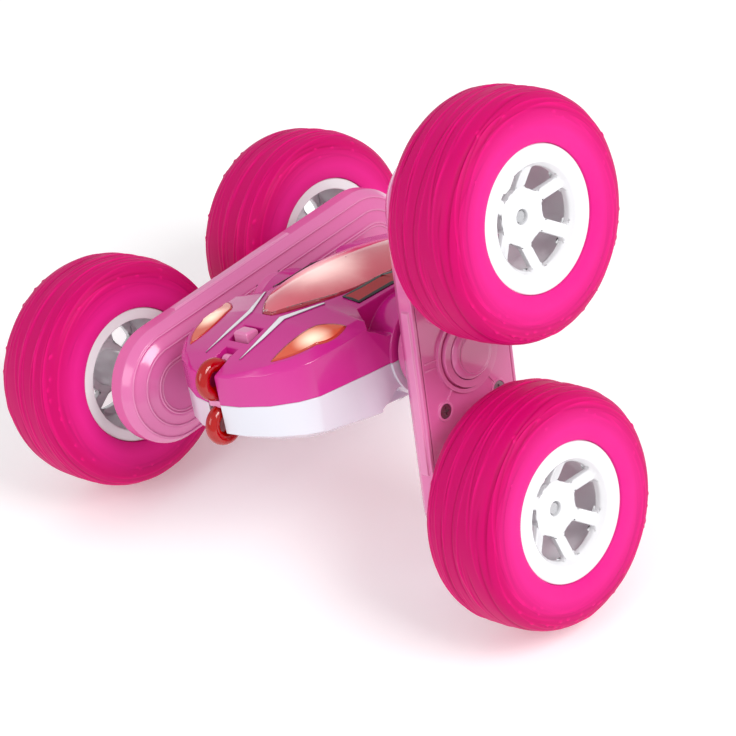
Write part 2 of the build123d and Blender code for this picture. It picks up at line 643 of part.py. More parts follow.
def half_shell(bevel_angle):
    """One thin half of the body, before the details that differ top and bottom."""
    outer = half_form(0, 0, bevel_angle) - fender(0)
    boss = both_sides(rod(BOSS_INNER_X, BOSS_OUTER_X, BOSS_RADIUS))
    upper_half = block(-60, 60, -80, 80, 0, 60)
    outer += boss & upper_half
    hollow = half_form(SHELL_WALL, SHELL_WALL, bevel_angle) - fender(SHELL_WALL)
    hollow -= both_sides(rod(BOSS_INNER_X, BOSS_OUTER_X + 1, BOSS_RADIUS))
    slot_wall = SLOT_HALF_WIDTH + SLOT_WALL
    hollow -= block(-slot_wall, slot_wall, -80, NOSE + SLOT_DEPTH + SLOT_WALL, -1, 40)
    for x, y in body_screw_places():
        hollow -= Pos(x, y, 0) * Cylinder(SCREW_HEAD_RADIUS + BODY_SCREW_BOSS_WALL, 30, align=LOW)
    shell = outer - hollow
    shell -= both_sides(rod(BOSS_INNER_X - 1, BOSS_OUTER_X + 1, JOURNAL_RADIUS + RUNNING_CLEARANCE))
    return shell


def body_screw_places():
    x, y = BODY_SCREW_AT
    return [(-x, -y), (-x, y), (x, -y), (x, y)]


def knob_height():
    """Height of the hood's ridge under the switch."""
    slope = (HOOD_KINK_Z - HOOD_FRONT_Z) / (HOOD_KINK - HOOD_FRONT)
    return HOOD_FRONT_Z + slope * (SWITCH_AT - HOOD_FRONT)


def upper_shell():
    """The coloured top half, with the canopy opening, lamps and switch recess."""
    shell = half_shell(BEVEL_ANGLE) - canopy_prism(0.0) - both_sides(lamp_prism()) - slot_cut()
    top = knob_height()
    wide = KNOB_HALF_WIDTH + SWITCH_TRAVEL + KNOB_SIDE_PLAY
    long = KNOB_HALF_LENGTH + KNOB_END_PLAY
    floor = top - RECESS_DEPTH
    recess_wall = block(-wide - RECESS_WALL, wide + RECESS_WALL, SWITCH_AT - long - RECESS_WALL,
                        SWITCH_AT + long + RECESS_WALL, floor - RECESS_FLOOR, top + 3)
    shell += recess_wall & half_form(0, 0)
    shell -= block(-wide, wide, SWITCH_AT - long, SWITCH_AT + long, floor, top + 9)
    slit = STEM_HALF_WIDTH + SWITCH_TRAVEL + SWITCH_PLAY + 0.2
    slit_half = STEM_HALF_LENGTH + 0.4
    shell -= block(-slit, slit, SWITCH_AT - slit_half, SWITCH_AT + slit_half, top - 9, top)
    for x, y in body_screw_places():
        shell -= Pos(x, y, -1) * Cylinder(SCREW_RADIUS, 1.5 + BODY_SCREW_REACH, align=LOW)
    return shell


def lower_shell():
    """The white bottom half, with the belly opening, screw wells and charging port."""
    shell = half_shell(BELLY_BEVEL_ANGLE) - canopy_prism(0.0) - slot_cut()
    for x, y in body_screw_places():
        shell -= Pos(x, y, -1) * Cylinder(SCREW_RADIUS + SCREW_PLAY, 30, align=LOW)
        well = Cylinder(SCREW_HEAD_RADIUS + BODY_SCREW_WELL_PLAY, 30, align=LOW)
        shell -= Pos(x, y, BODY_SCREW_SEAT) * well
    shell = mirrored_z(shell)
    return shell - socket_hole()


def socket_hole():
    return Pos(JACK_X, BODY_HALF_LENGTH, JACK_Z) * Rot(90, 0, 0) * Cylinder(JACK_BODY_RADIUS, 22)


def dome(lift):
    """The crowned outside of a canopy lens."""
    height = CANOPY_TOP + lift - DOME_FOOT
    ball = scale(Sphere(1.0), by=(DOME_HALF_WIDTH + lift, DOME_HALF_LENGTH + lift, height))
    return Pos(0, 0, DOME_FOOT) * ball


def canopy_lens():
    """A clear tinted dome in the hood's opening."""
    return (dome(0) - dome(-LENS_WALL)) & canopy_prism(-LENS_PLAY) & block(-40, 40, -60, 60, LENS_FOOT, 40)


def belly_cover():
    """The clear red battery door: the same leaf outline, with a flat face."""
    leaf = canopy_prism(-LENS_PLAY) & dome(0)
    body = (leaf - dome(-LENS_WALL - 0.5)) & block(-40, 40, -60, 60, LENS_FOOT, BELLY_FLAT)
    plate = leaf & block(-40, 40, -60, 60, BELLY_FLAT - 1.8, BELLY_FLAT)
    return mirrored_z(body + plate)


def side_lamps():
    """Clear amber lenses let into the hood's shoulders."""
    lens = (half_form(0, -0.25) - half_form(SHELL_WALL, SHELL_WALL)) & lamp_prism()
    biggest = max(lens.solids(), key=lambda solid: solid.volume)
    return joined([biggest, mirrored_x(biggest)])


def nose_ring(z):
    """A glossy torus that stands in the nose slot like a bumper bead."""
    return Pos(0, NOSE + RING_SETBACK, z) * Rot(0, 90, 0) * Torus(RING_RADIUS, RING_TUBE)


def nose_bar():
    """The bridge in the slot that both rings clip to."""
    wide = SLOT_HALF_WIDTH
    start = NOSE + BAR_SETBACK
    bar = block(-wide, wide, start, start + BAR_LENGTH, -BAR_HEIGHT / 2, BAR_HEIGHT / 2)
    top = RING_HEIGHT + WEB_PAST_RING
    back = NOSE + SLOT_DEPTH
    web = block(-SLOT_WALL, SLOT_WALL, back - WEB_THICKNESS, back, -top, top)
    tab = Pos(0, back - TAB_RADIUS, top) * Rot(0, 90, 0) * Cylinder(TAB_RADIUS, 2 * SLOT_WALL)
    return bar + web + tab - nose_ring(RING_HEIGHT) - nose_ring(-RING_HEIGHT)


def switch_knob():
    top = knob_height()
    half_x, half_y = KNOB_HALF_WIDTH, KNOB_HALF_LENGTH
    knob = block(-half_x, half_x, SWITCH_AT - half_y, SWITCH_AT + half_y, top - RECESS_DEPTH + 0.5,
                 top + KNOB_PROUD)
    knob = chamfer(knob.edges().group_by(Axis.Z)[-1], KNOB_EDGE)
    stem = block(-STEM_HALF_WIDTH, STEM_HALF_WIDTH, SWITCH_AT - STEM_HALF_LENGTH,
                 SWITCH_AT + STEM_HALF_LENGTH, top - RECESS_DEPTH - 3.2, top - 2.4)
    return knob + stem


def switch_housing():
    roof = knob_height() - RECESS_DEPTH - RECESS_FLOOR - HOUSING_GAP
    housing = block(-HOUSING_HALF_WIDTH, HOUSING_HALF_WIDTH, SWITCH_AT - HOUSING_HALF_LENGTH,
                    SWITCH_AT + HOUSING_HALF_LENGTH, roof - HOUSING_HEIGHT, roof)
    slot = STEM_HALF_WIDTH + SWITCH_TRAVEL + SWITCH_PLAY
    half = STEM_HALF_LENGTH + SWITCH_PLAY
    return housing - block(-slot, slot, SWITCH_AT - half, SWITCH_AT + half, roof - 2.3, roof + 4)


def skin(points, thickness):
    """A thin trim piece that follows the hood inside a plan outline."""
    layer = half_form(0, -thickness) - half_form(0, 0)
    return layer & plan_prism(points, 6, 30)


def trim_stripes():
    """Two white inlays that run back along the folds of the hood."""
    outline = [(6.9, HOOD_FRONT - 0.2), (7.6, HOOD_FRONT + 8.8), (7.6, HOOD_KINK), (12.4, -19.6),
               (11.8, -19.4), (5.6, HOOD_KINK)]
    stripe = skin(outline, 0.3)
    return joined([stripe, mirrored_x(stripe)])


def badge():
    """Two blank plates on the sills beside the canopy."""
    inner, outer = CANOPY_HALF_WIDTH + 0.4, FENDER_X - 0.6
    outline = [(inner - 0.9, -14.0), (outer - 0.6, -12.4), (outer, 9.5), (inner, 7.5)]
    plate = skin(outline, 0.4)
    return joined([plate, mirrored_x(plate)])


def circuit_board():
    top = BOARD_TOP
    board = block(-16, 16, -39.0, -16.0, top - BOARD_THICKNESS, top)
    chips = block(-6, 2, -30, -22, top, top + 1.6) + block(6, 12, -26, -20, top, top + 2.0)
    return board + chips + block(-13, -9, -35, -20, top, top + 1.2)


def battery_pack():
    pack = block(-17, 17, 14.5, 37.5, -BATTERY_HALF_HEIGHT, BATTERY_HALF_HEIGHT)
    return fillet(pack.edges().filter_by(Axis.X), BATTERY_CORNER)


def lights():
    """Small domed lamps: one under the canopy and one behind each side lamp."""
    def led(x, y, z):
        stem = Cylinder(LED_RADIUS, LED_HEIGHT, align=LOW)
        return Pos(x, y, z) * (stem + Pos(0, 0, LED_HEIGHT) * Sphere(LED_RADIUS))

    spots = [(0, -12, 6.0), (20.0, NOSE + 17.0, 3.2), (-20.0, NOSE + 17.0, 3.2)]
    return joined([led(*spot) for spot in spots])


def body_screws():
    screws = []
    for x, y in body_screw_places():
        shank = Cylinder(SCREW_RADIUS, BODY_SCREW_SEAT + BODY_SCREW_REACH, align=LOW)
        head = Cylinder(SCREW_HEAD_RADIUS, SCREW_HEAD_HEIGHT, align=LOW)
        screw = Pos(x, y, -BODY_SCREW_SEAT) * shank
        screw += Pos(x, y, -BODY_SCREW_SEAT - SCREW_HEAD_HEIGHT) * head
        screws.append(screw)
    return joined(screws)


def charging_socket():
    """A round jack in the tail: a plug goes straight in."""
    mouth = BODY_HALF_LENGTH - JACK_SETBACK
    place = Pos(JACK_X, mouth, JACK_Z) * Rot(90, 0, 0)
    barrel = place * Cylinder(JACK_BODY_RADIUS, JACK_LENGTH, align=LOW)
    bore = place * Pos(0, 0, -1) * Cylinder(JACK_RADIUS, 1 + JACK_LENGTH - JACK_FLOOR, align=LOW)
    return barrel - bore


# ---- writing ----------------------------------------------------------------
def write(name, shape):
    export_step(shape, "parts/" + name + ".step")


def write_arm(side, place, turned):
    """One arm: the near one as drawn, the far one mirrored."""
    pieces = {
        "arm_shell": arm_shell(), "arm_cover": arm_cover(), "hub_cap": hub_cap(),
        "arm_screws": arm_screws(), "motor": motor(), "motor_pinion": motor_pinion(),
        "idler_pins": idler_pins(), "axle_bushes": axle_bushes(), "pivot_clip": pivot_clip(),
    }
    idler_bore = PIN_RADIUS + RUNNING_CLEARANCE
    carrier_faces = CARRIER_TEETH % 2 == 0
    for end, sign in (("front", -1), ("rear", 1)):
        pieces["idler_gear_" + end] = gear(IDLER_TEETH, GEAR_X, GEAR_WIDTH, idler_bore,
                                           sign * IDLER_AT, False, -sign)
        pieces["carrier_gear_" + end] = gear(CARRIER_TEETH, GEAR_X, GEAR_WIDTH, idler_bore,
                                             sign * CARRIER_AT, True, -sign)
        pieces["driven_gear_" + end] = gear(DRIVEN_TEETH, GEAR_X, GEAR_WIDTH, AXLE_RADIUS,
                                            sign * AXLE_AT, carrier_faces is False, -sign)
        pieces["tyre_" + end] = Pos(0, sign * AXLE_AT, 0) * tyre()
        pieces["rim_" + end] = Pos(0, sign * AXLE_AT, 0) * rim()
        pieces["axle_" + end] = Pos(0, sign * AXLE_AT, 0) * axle()
    for name, shape in pieces.items():
        if turned:
            shape = mirrored_x(shape)
        write(side + "_" + name, place * shape)


def write_body():
    pieces = {
        "upper_shell": upper_shell(), "lower_shell": lower_shell(), "canopy_lens": canopy_lens(),
        "belly_cover": belly_cover(), "side_lamps": side_lamps(),
        "nose_ring_upper": nose_ring(RING_HEIGHT), "nose_ring_lower": nose_ring(-RING_HEIGHT),
        "nose_bar": nose_bar(), "switch_knob": switch_knob(), "switch_housing": switch_housing(),
        "trim_stripes": trim_stripes(), "side_badges": badge(), "circuit_board": circuit_board(),
        "battery_pack": battery_pack(), "lights": lights(), "body_screws": body_screws(),
        "charging_socket": charging_socket(),
    }
    for name, shape in pieces.items():
        write(name, BODY * shape)


write_arm("far", FAR_ARM, True)
write_arm("near", NEAR_ARM, False)
write_body()
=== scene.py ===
import json
import math

import bmesh
import bpy
import numpy as np
from mathutils import Matrix, Vector

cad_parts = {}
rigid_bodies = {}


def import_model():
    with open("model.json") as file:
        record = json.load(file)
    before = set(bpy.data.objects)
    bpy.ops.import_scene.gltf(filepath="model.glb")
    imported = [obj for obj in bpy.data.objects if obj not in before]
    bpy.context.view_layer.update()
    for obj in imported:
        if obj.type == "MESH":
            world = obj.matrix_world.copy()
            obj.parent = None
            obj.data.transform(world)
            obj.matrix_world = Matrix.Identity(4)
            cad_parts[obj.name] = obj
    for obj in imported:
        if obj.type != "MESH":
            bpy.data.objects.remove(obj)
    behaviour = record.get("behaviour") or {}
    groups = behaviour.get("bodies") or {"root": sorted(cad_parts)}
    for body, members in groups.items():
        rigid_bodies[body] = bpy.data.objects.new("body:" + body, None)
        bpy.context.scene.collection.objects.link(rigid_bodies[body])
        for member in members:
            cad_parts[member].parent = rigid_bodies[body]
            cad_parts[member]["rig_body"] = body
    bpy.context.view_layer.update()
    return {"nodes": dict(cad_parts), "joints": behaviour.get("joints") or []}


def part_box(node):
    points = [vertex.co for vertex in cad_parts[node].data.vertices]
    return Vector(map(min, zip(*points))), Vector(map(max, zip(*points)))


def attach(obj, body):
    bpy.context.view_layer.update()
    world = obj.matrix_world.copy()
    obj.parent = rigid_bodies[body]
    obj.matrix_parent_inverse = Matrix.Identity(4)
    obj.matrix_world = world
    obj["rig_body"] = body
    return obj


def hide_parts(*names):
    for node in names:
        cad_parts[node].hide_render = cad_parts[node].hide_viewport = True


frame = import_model()

# ---- The table, the light and the viewpoint ---------------------------------
# The car stands on a plain pale sweep.  Two large soft boxes and a pale room
# light it, and the camera looks down at its nose and its near side.
SWEEP_HALF = 3.0
SWEEP_COLOUR = (0.88, 0.88, 0.89)
SWEEP_PALE = (0.9, 0.9, 0.9)
SWEEP_GLOW = 0.22
ROOM_COLOUR = (1.0, 1.0, 1.0)
ROOM_STRENGTH = 0.62
VIEW_FROM = Vector((0.38899, -0.37570, 0.47949))
VIEW_AZIMUTH = math.radians(46.24)
VIEW_ELEVATION = math.radians(38.98)
VIEW_ROLL = math.radians(-5.25)
VIEW_LENS = 123.2

scene = bpy.context.scene
scene.view_settings.view_transform = "Standard"


def add(tree, kind, inputs=None, **settings):
    """One shader node: settings are its own options, inputs are values or other nodes' outputs."""
    node = tree.nodes.new(kind)
    for name, value in settings.items():
        setattr(node, name, value)
    for name, value in (inputs or {}).items():
        if isinstance(value, bpy.types.NodeSocket):
            tree.links.new(value, node.inputs[name])
        else:
            node.inputs[name].default_value = value
    return node


def blank_material(name):
    material = bpy.data.materials.new(name)
    material.use_nodes = True
    material.node_tree.nodes.clear()
    return material, material.node_tree


def from_bmesh(name, shape):
    """The finished bmesh as an object at the origin."""
    mesh = bpy.data.meshes.new(name)
    shape.to_mesh(mesh)
    shape.free()
    piece = bpy.data.objects.new(name, mesh)
    scene.collection.objects.link(piece)
    return piece


sweep_shape = bmesh.new()
bmesh.ops.create_grid(sweep_shape, x_segments=2, y_segments=2, size=SWEEP_HALF)
sweep = from_bmesh("sweep", sweep_shape)
sweep_paint, tree = blank_material("sweep_paint")
place = add(tree, "ShaderNodeTexCoord")
cloud = add(tree, "ShaderNodeTexNoise", {"Vector": place.outputs["Object"], "Scale": 3.0, "Detail": 2.0})
tone = add(tree, "ShaderNodeMix", {0: cloud.outputs["Fac"], 6: SWEEP_COLOUR + (1,), 7: SWEEP_PALE + (1,)},
           data_type="RGBA")
paint = add(tree, "ShaderNodeBsdfPrincipled", {
    "Base Color": tone.outputs[2], "Roughness": 0.55, "Emission Color": (1, 1, 1, 1),
    "Emission Strength": SWEEP_GLOW})
add(tree, "ShaderNodeOutputMaterial", {"Surface": paint.outputs["BSDF"]})
sweep.data.materials.append(sweep_paint)

room = bpy.data.worlds.new("room")
room.use_nodes = True
room.node_tree.nodes["Background"].inputs["Color"].default_value = ROOM_COLOUR + (1,)
room.node_tree.nodes["Background"].inputs["Strength"].default_value = ROOM_STRENGTH
scene.world = room


def soft_box(name, power, size, position, aim):
    lamp = bpy.data.lights.new(name, "AREA")
    lamp.energy = power
    lamp.size = size
    lamp_object = bpy.data.objects.new(name, lamp)
    lamp_object.location = position
    direction = Vector(aim) - Vector(position)
    lamp_object.rotation_euler = direction.to_track_quat("-Z", "Y").to_euler()
    scene.collection.objects.link(lamp_object)


soft_box("key_light", 7.0, 0.5, (0.75, 0.10, 0.85), (0.02, 0.0, 0.05))
soft_box("front_light", 3.0, 0.6, (-0.15, -0.95, 0.70), (-0.02, 0.0, 0.05))

camera_data = bpy.data.cameras.new("camera")
camera_data.lens = VIEW_LENS
camera = bpy.data.objects.new("camera", camera_data)
turn = (Matrix.Rotation(VIEW_AZIMUTH, 4, "Z") @ Matrix.Rotation(math.pi / 2 - VIEW_ELEVATION, 4, "X")
        @ Matrix.Rotation(VIEW_ROLL, 4, "Z"))
camera.matrix_world = Matrix.Translation(VIEW_FROM) @ turn
scene.collection.objects.link(camera)
scene.camera = camera

# ---- Body halves --------------------------------------------------------------
# The two shells of the body: glossy injection-moulded ABS, magenta above and
# white below, screwed together from underneath along the parting line.
MAGENTA = (0.60, 0.012, 0.265)
SHELL_WHITE = (0.72, 0.71, 0.80)
SHELL_EDGE = 0.00025


def eased(node, name, width, flat=0.5, crease=24, segments=2):
    """The CAD shape of a moulded piece with its edges rounded, as the tool leaves them."""
    shape = bmesh.new()
    shape.from_mesh(frame["nodes"][node].data)
    bmesh.ops.remove_doubles(shape, verts=shape.verts, dist=2e-6)
    bmesh.ops.dissolve_limit(shape, angle_limit=math.radians(flat), verts=shape.verts, edges=shape.edges,
                             use_dissolve_boundaries=False)
    corners = [e for e in shape.edges if len(e.link_faces) == 2
               and e.calc_face_angle(0) > math.radians(crease)]
    bmesh.ops.bevel(shape, geom=corners, offset=width, offset_type="OFFSET", affect="EDGES",
                    segments=segments, profile=0.5, material=-1, clamp_overlap=False, loop_slide=True)
    for face in shape.faces:
        face.smooth = True
        face.material_index = 0
    piece = from_bmesh(name, shape)
    level = piece.modifiers.new("level", "WEIGHTED_NORMAL")
    level.weight = 80
    level.keep_sharp = True
    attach(piece, frame["nodes"][node]["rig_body"])
    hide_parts(node)
    return piece


def moulding_group():
    """Flow marks, handling haze and a fine tool grain, and a painted highlight that lightens the sharp convex
    edges.
    """
    group = bpy.data.node_groups.new("moulded_surface", "ShaderNodeTree")
    faces = group.interface
    for name, kind, value in (("Colour", "NodeSocketColor", (0.5, 0.5, 0.5, 1)),
                              ("Highlight Colour", "NodeSocketColor", (0.8, 0.8, 0.8, 1)),
                              ("Edge Highlight", "NodeSocketFloat", 0.4), ("Mottle", "NodeSocketFloat", 0.08),
                              ("Roughness", "NodeSocketFloat", 0.2), ("Haze", "NodeSocketFloat", 0.12),
                              ("Grain", "NodeSocketFloat", 1800.0)):
        faces.new_socket(name, in_out="INPUT", socket_type=kind).default_value = value
    for name, kind in (("Colour", "NodeSocketColor"), ("Roughness", "NodeSocketFloat"),
                       ("Height", "NodeSocketFloat")):
        faces.new_socket(name, in_out="OUTPUT", socket_type=kind)
    given = add(group, "NodeGroupInput").outputs
    place = add(group, "ShaderNodeTexCoord").outputs["Object"]
    flow = add(group, "ShaderNodeTexNoise", {
        "Vector": place, "Scale": 38.0, "Detail": 3.0, "Distortion": 0.6})
    haze = add(group, "ShaderNodeTexNoise", {
        "Vector": place, "Scale": 120.0, "Detail": 5.0, "Roughness": 0.7})
    grain = add(group, "ShaderNodeTexNoise", {"Vector": place, "Scale": given["Grain"], "Detail": 2.0})
    shade = add(group, "ShaderNodeMapRange", {"Value": flow.outputs["Fac"], "From Min": 0.3, "From Max": 0.7})
    depth = add(group, "ShaderNodeMath", {0: shade.outputs[0], 1: given["Mottle"]}, operation="MULTIPLY")
    bright = add(group, "ShaderNodeMath", {0: 1.0, 1: depth.outputs[0]}, operation="SUBTRACT")
    base = add(group, "ShaderNodeHueSaturation", {"Value": bright.outputs[0], "Color": given["Colour"]})
    # Painted highlight: where Pointiness is high, on sharp convex edges, the colour is mixed toward the
    # lighter highlight colour.
    point = add(group, "ShaderNodeNewGeometry").outputs["Pointiness"]
    edge_highlight = add(group, "ShaderNodeMapRange", {"Value": point, "From Min": 0.51, "From Max": 0.60})
    amount = add(group, "ShaderNodeMath", {0: edge_highlight.outputs[0], 1: given["Edge Highlight"]}, operation="MULTIPLY")
    highlighted = add(group, "ShaderNodeMix", {0: amount.outputs[0], 6: base.outputs[0], 7: given["Highlight Colour"]},
                 data_type="RGBA")
    cloud = add(group, "ShaderNodeMath", {0: haze.outputs["Fac"], 1: given["Haze"]}, operation="MULTIPLY")
    rough = add(group, "ShaderNodeMath", {0: given["Roughness"], 1: cloud.outputs[0]}, operation="ADD")
    add(group, "NodeGroupOutput", {"Colour": highlighted.outputs[2], "Roughness": rough.outputs[0],
                                   "Height": grain.outputs["Fac"]})
    return group


moulded_surface = moulding_group()


def plastic(name, colour, highlight_colour=None, roughness=0.16, coat=0.4, edge_highlight=0.35, mottle=0.06, haze=0.10,
            grain=1800.0, relief=0.02):
    """A moulded plastic of one colour with the shared surface effect, including its painted edge highlight.
    """
    material, tree = blank_material(name)
    skin = add(tree, "ShaderNodeGroup", node_tree=moulded_surface)
    skin.inputs["Colour"].default_value = colour + (1,)
    skin.inputs["Highlight Colour"].default_value = (highlight_colour or colour) + (1,)
    skin.inputs["Edge Highlight"].default_value = edge_highlight
    skin.inputs["Mottle"].default_value = mottle
    skin.inputs["Roughness"].default_value = roughness
    skin.inputs["Haze"].default_value = haze
    skin.inputs["Grain"].default_value = grain
    bump = add(tree, "ShaderNodeBump", {"Height": skin.outputs["Height"], "Strength": relief,
                                        "Distance": 0.0002})
    shader = add(tree, "ShaderNodeBsdfPrincipled", {
        "Base Color": skin.outputs["Colour"], "Roughness": skin.outputs["Roughness"],
        "Normal": bump.outputs["Normal"], "Coat Weight": coat, "Coat Roughness": 0.05, "IOR": 1.5})
    add(tree, "ShaderNodeOutputMaterial", {"Surface": shader.outputs["BSDF"]})
    return material


def dress(piece, material):
    """Gives a new piece its material."""
    piece.data.materials.clear()
    piece.data.materials.append(material)


# The third colour given to each plastic is its painted edge highlight colour.
magenta_abs = plastic("magenta_abs", MAGENTA, (0.80, 0.10, 0.42), roughness=0.16, coat=0.3, edge_highlight=0.25)
white_abs = plastic("white_abs", SHELL_WHITE, (0.9, 0.9, 0.93), roughness=0.16, coat=0.5, mottle=0.03)
upper = eased("upper_shell", "upper_shell_moulding", SHELL_EDGE)
dress(upper, magenta_abs)
lower = eased("lower_shell", "lower_shell_moulding", SHELL_EDGE)
dress(lower, white_abs)

# ---- Trim on the hood -----------------------------------------------------------
# White stripes along the folds of the hood, and two blank badge plates on the
# sills: printed film on thin styrene, glued down, each with a darker border.
FACES_OUT = 0.35
FILM_BORDER = 0.00012
BADGE_BORDER = 0.0008
body_up = (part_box("canopy_lens")[0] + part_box("canopy_lens")[1]
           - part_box("belly_cover")[0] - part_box("belly_cover")[1]).normalized()


def bordered(node, name, border, materials):
    """A CAD inlay whose outer face has a border in a second material."""
    shape = bmesh.new()
    shape.from_mesh(frame["nodes"][node].data)
    bmesh.ops.remove_doubles(shape, verts=shape.verts, dist=2e-6)
    shape.normal_update()
    for face in shape.faces:
        face.material_index = 1
        face.smooth = True
    outer = [face for face in shape.faces if face.normal.dot(body_up) > FACES_OUT]
    for face in outer:
        face.material_index = 0
    rim_faces = bmesh.ops.inset_region(shape, faces=outer, thickness=border, depth=0.0,
                                       use_boundary=True, use_even_offset=False)["faces"]
    for face in rim_faces:
        face.material_index = 1
    piece = from_bmesh(name, shape)
    level = piece.modifiers.new("level", "WEIGHTED_NORMAL")
    level.keep_sharp = True
    for material in materials:
        piece.data.materials.append(material)
    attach(piece, frame["nodes"][node]["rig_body"])
    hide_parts(node)
    return piece


stripe_film = plastic("stripe_film", (0.88, 0.87, 0.91), roughness=0.2, coat=0.2, edge_highlight=0.0)
stripe_border = plastic("stripe_border", (0.36, 0.20, 0.30), roughness=0.3, coat=0.1, edge_highlight=0.0)
bordered("trim_stripes", "hood_stripes", FILM_BORDER, (stripe_film, stripe_border))
badge_film = plastic("badge_film", (0.42, 0.010, 0.020), roughness=0.25, edge_highlight=0.0)
badge_border = plastic("badge_border", (0.012, 0.010, 0.012), roughness=0.2, coat=0.5, edge_highlight=0.0)
bordered("side_badges", "blank_badges", BADGE_BORDER, (badge_film, badge_border))

# ---- Canopy and belly lens ------------------------------------------------------
# Clear salmon-tinted polycarbonate with a deep red edge.  A warm lamp sits under the
# front of the canopy; its pale middle is a painted glow standing in for that lamp's light.


def middle_of(node):
    low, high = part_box(node)
    return (low + high) / 2


def painted_glow_lens(name, rim, middle, glow, spots, radius, roughness=0.08, transmission=0.2,
                 coat=1.0):
    """A tinted clear moulding with a painted glow: a paler colour and emission painted round the given spots,
    fading outwards, over a faint red emission everywhere.
    """
    material, tree = blank_material(name)
    place = add(tree, "ShaderNodeTexCoord").outputs["Object"]
    spans = [add(tree, "ShaderNodeVectorMath", {0: place, 1: spot}, operation="DISTANCE").outputs["Value"]
             for spot in spots]
    nearest = spans[0]
    for span in spans[1:]:
        nearest = add(tree, "ShaderNodeMath", {0: nearest, 1: span}, operation="MINIMUM").outputs[0]
    ripple = add(tree, "ShaderNodeTexNoise", {"Vector": place, "Scale": 90.0, "Detail": 3.0})
    wander = add(tree, "ShaderNodeMath", {0: ripple.outputs["Fac"], 1: radius * 0.35}, operation="MULTIPLY")
    reach = add(tree, "ShaderNodeMath", {0: nearest, 1: wander.outputs[0]}, operation="ADD")
    fade = add(tree, "ShaderNodeMapRange", {"Value": reach.outputs[0], "From Min": radius * 0.2,
                                            "From Max": radius * 1.15, "To Min": 1.0, "To Max": 0.0},
               interpolation_type="SMOOTHSTEP").outputs[0]
    # Painted glow: near the spots the colour turns paler and the surface emits light.
    colour = add(tree, "ShaderNodeMix", {0: fade, 6: rim + (1,), 7: middle + (1,)}, data_type="RGBA")
    light = add(tree, "ShaderNodeMix", {0: fade, 6: (0.04 * rim[0], 0.0, 0.0, 1), 7: glow + (1,)},
                data_type="RGBA")
    shader = add(tree, "ShaderNodeBsdfPrincipled", {
        "Base Color": colour.outputs[2], "Roughness": roughness, "Transmission Weight": transmission,
        "IOR": 1.5, "Coat Weight": coat, "Coat Roughness": 0.03, "Emission Color": light.outputs[2],
        "Emission Strength": 1.0})
    add(tree, "ShaderNodeOutputMaterial", {"Surface": shader.outputs["BSDF"]})
    return material


nose_to_tail = (middle_of("charging_socket") - middle_of("nose_bar")).normalized()
canopy_spot = middle_of("canopy_lens") - 0.008 * nose_to_tail + 0.004 * body_up
canopy_clear = painted_glow_lens("canopy_clear", (0.80, 0.14, 0.20), (0.95, 0.50, 0.47), (0.55, 0.46, 0.43),
                            [canopy_spot], 0.016, transmission=0.1, coat=0.5)
lens_edge = plastic("lens_edge", (0.42, 0.02, 0.045), roughness=0.12, coat=0.8, edge_highlight=0.0)
bordered("canopy_lens", "canopy_moulding", 0.0007, (canopy_clear, lens_edge))
# Painted glow: the belly lens is paler and faintly emissive round its middle.
belly_clear = painted_glow_lens("belly_clear", (0.62, 0.03, 0.03), (0.70, 0.06, 0.05), (0.02, 0.0, 0.0),
                           [middle_of("belly_cover")], 0.030)
belly = eased("belly_cover", "belly_moulding", 0.0003, flat=0.05)
dress(belly, belly_clear)

# ---- Side lamps -------------------------------------------------------------------
# Two amber leaves let into the hood's shoulders, each with an orange-red edge
# and a lamp behind it.
axle_line = Vector(frame["joints"][1]["axis"])
lamp_middle = middle_of("side_lamps")
lamp_points = [v.co.copy() for v in frame["nodes"]["side_lamps"].data.vertices]
lamp_spots = []
for side in (-1, 1):
    half = [p for p in lamp_points if (p - lamp_middle).dot(axle_line) * side > 0]
    lamp_spots.append(sum(half, Vector()) / len(half))
# Painted glow: each leaf is paler and emits light round its own middle.
lamp_clear = painted_glow_lens("lamp_clear", (0.86, 0.10, 0.02), (0.95, 0.66, 0.48), (0.85, 0.66, 0.50),
                          lamp_spots, 0.0066, coat=0.5)
lamp_edge = plastic("lamp_edge", (0.60, 0.045, 0.02), roughness=0.12, coat=0.8, edge_highlight=0.0)
bordered("side_lamps", "side_lamp_lenses", 0.0005, (lamp_clear, lamp_edge))

# ---- Nose rings --------------------------------------------------------------------
# Two solid rings of clear red acrylic that stand in the nose slot on a pink
# bridge, and the pink power knob that slides across the hood behind them.
# Painted glow: each ring emits a faint red and is a little paler round its middle.
ring_clear = painted_glow_lens("ring_clear", (0.50, 0.0, 0.0), (0.60, 0.004, 0.0), (0.04, 0.0, 0.0),
                          [middle_of("nose_ring_upper"), middle_of("nose_ring_lower")], 0.004,
                          roughness=0.02, transmission=0.3, coat=0.3)
for level in ("upper", "lower"):
    ring = eased("nose_ring_" + level, "nose_bead_" + level, 0.0001, flat=0.01)
    dress(ring, ring_clear)
bridge = eased("nose_bar", "nose_bridge", 0.0002)
arm_pink_abs = plastic("arm_pink_abs", (0.76, 0.16, 0.42), (0.9, 0.5, 0.7), roughness=0.16, coat=0.5)
dress(bridge, arm_pink_abs)
knob = eased("switch_knob", "power_knob", 0.0003)
dress(knob, arm_pink_abs)

# ---- Arms ---------------------------------------------------------------------------
# Each arm is a terraced tray and a flat cover in glossy light pink ABS, with
# fine raised beads moulded round the terraces of the tray.
WHEEL_OFFSET = 0.0627
BEAD_RADIUS = 0.00028
TRAY_BEADS = ((0.03462, 0.0151), (0.03302, 0.0115), (0.03192, 0.0078), (0.03192, 0.0070))
BEAD_STEPS = 48
joints = {joint["name"]: joint for joint in frame["joints"]}


